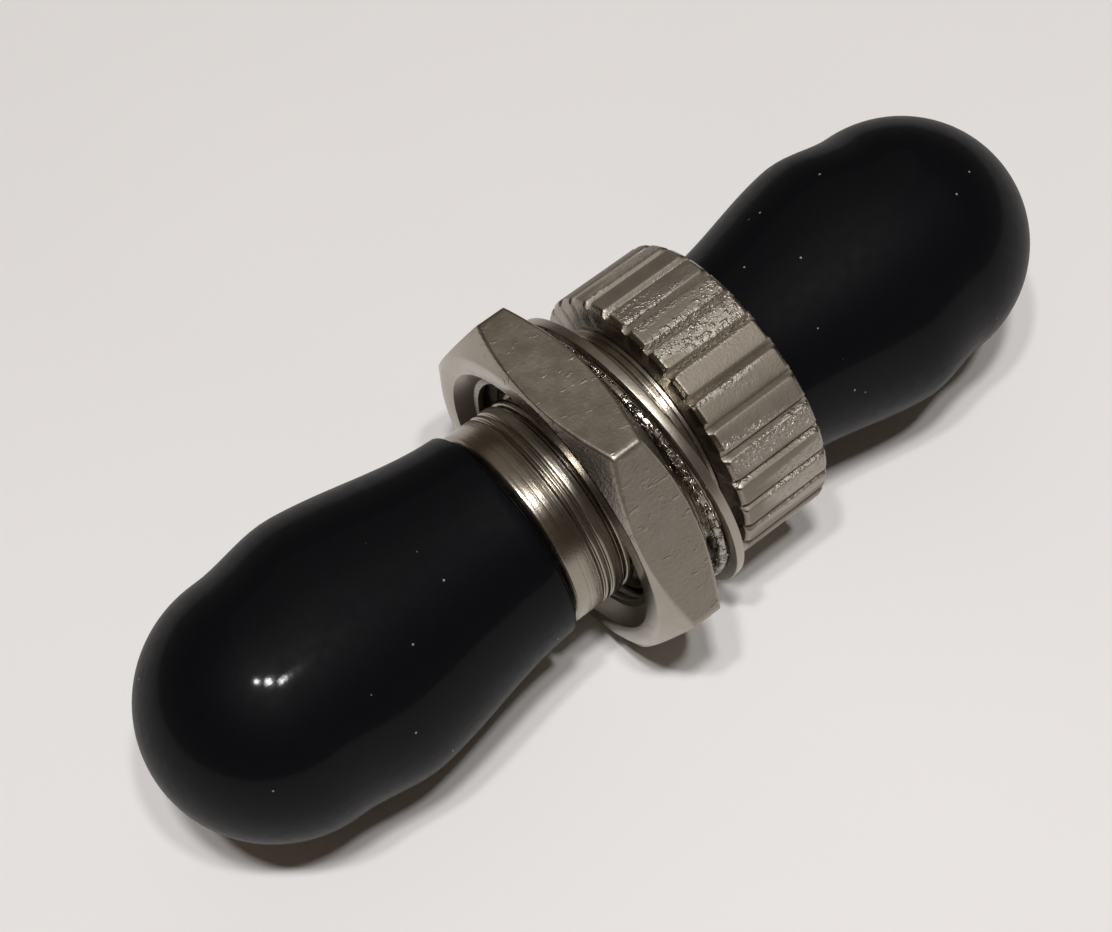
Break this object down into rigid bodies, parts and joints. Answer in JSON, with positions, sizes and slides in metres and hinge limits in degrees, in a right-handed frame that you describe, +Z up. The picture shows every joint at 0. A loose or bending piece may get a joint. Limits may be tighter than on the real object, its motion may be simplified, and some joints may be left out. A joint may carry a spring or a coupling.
{
  "type": "fibre optic panel adapter with bayonet ports and dust caps",
  "caption": "Round metal coupling for fibre plugs: bayonet ports at both ends, ribbed collar, hex nut and washers for a panel, black dust caps.",
  "frame": {"origin": "on the axis, where the two ferrules meet in the middle of the alignment sleeve", "axes": "+X along the axis towards the rear port; +Z up, out of a flat of the hex nut; +Y to the back"},
  "size_m": [0.0425, 0.0162, 0.014],
  "materials": {
    "nickel_plate": "satin nickel plate over turned brass, warm grey",
    "washer_plate": "nickel-plated steel strip, lightly scratched",
    "zirconia": "polished white ceramic, shown as a plain gloss white",
    "black_vinyl": "soft black vinyl, semi-gloss"
  },
  "bodies": {
    "adapter": {"front_body": "nickel_plate", "rear_body": "nickel_plate", "alignment_sleeve": "zirconia", "front_sleeve_holder": "nickel_plate", "rear_sleeve_holder": "nickel_plate", "flat_washer": "washer_plate"},
    "washer": {"lock_washer": "washer_plate"},
    "nut": {"hex_nut": "nickel_plate"},
    "front_cap": {"front_dust_cap": "black_vinyl"},
    "rear_cap": {"rear_dust_cap": "black_vinyl"}
  },
  "joints": [
    {"name": "washer_travel", "type": "slide", "parent": "adapter", "child": "washer", "axis": [-1, 0, 0], "range_m": [0, 0.0012]},
    {"name": "nut_turn", "type": "hinge", "parent": "washer", "child": "nut", "pos_m": [0, 0, 0], "axis": [-1, 0, 0], "range_deg": [0, 420]},
    {"name": "front_cap_pull", "type": "slide", "parent": "adapter", "child": "front_cap", "axis": [-1, 0, 0], "range_m": [0, 0.02], "deforming": ["front_dust_cap"]},
    {"name": "rear_cap_pull", "type": "slide", "parent": "adapter", "child": "rear_cap", "axis": [1, 0, 0], "range_m": [0, 0.02], "deforming": ["rear_dust_cap"]}
  ],
  "couplings": [
    {"joint": "washer_travel", "follows": "nut_turn", "m_per_rad": 0.00015915}
  ]
}
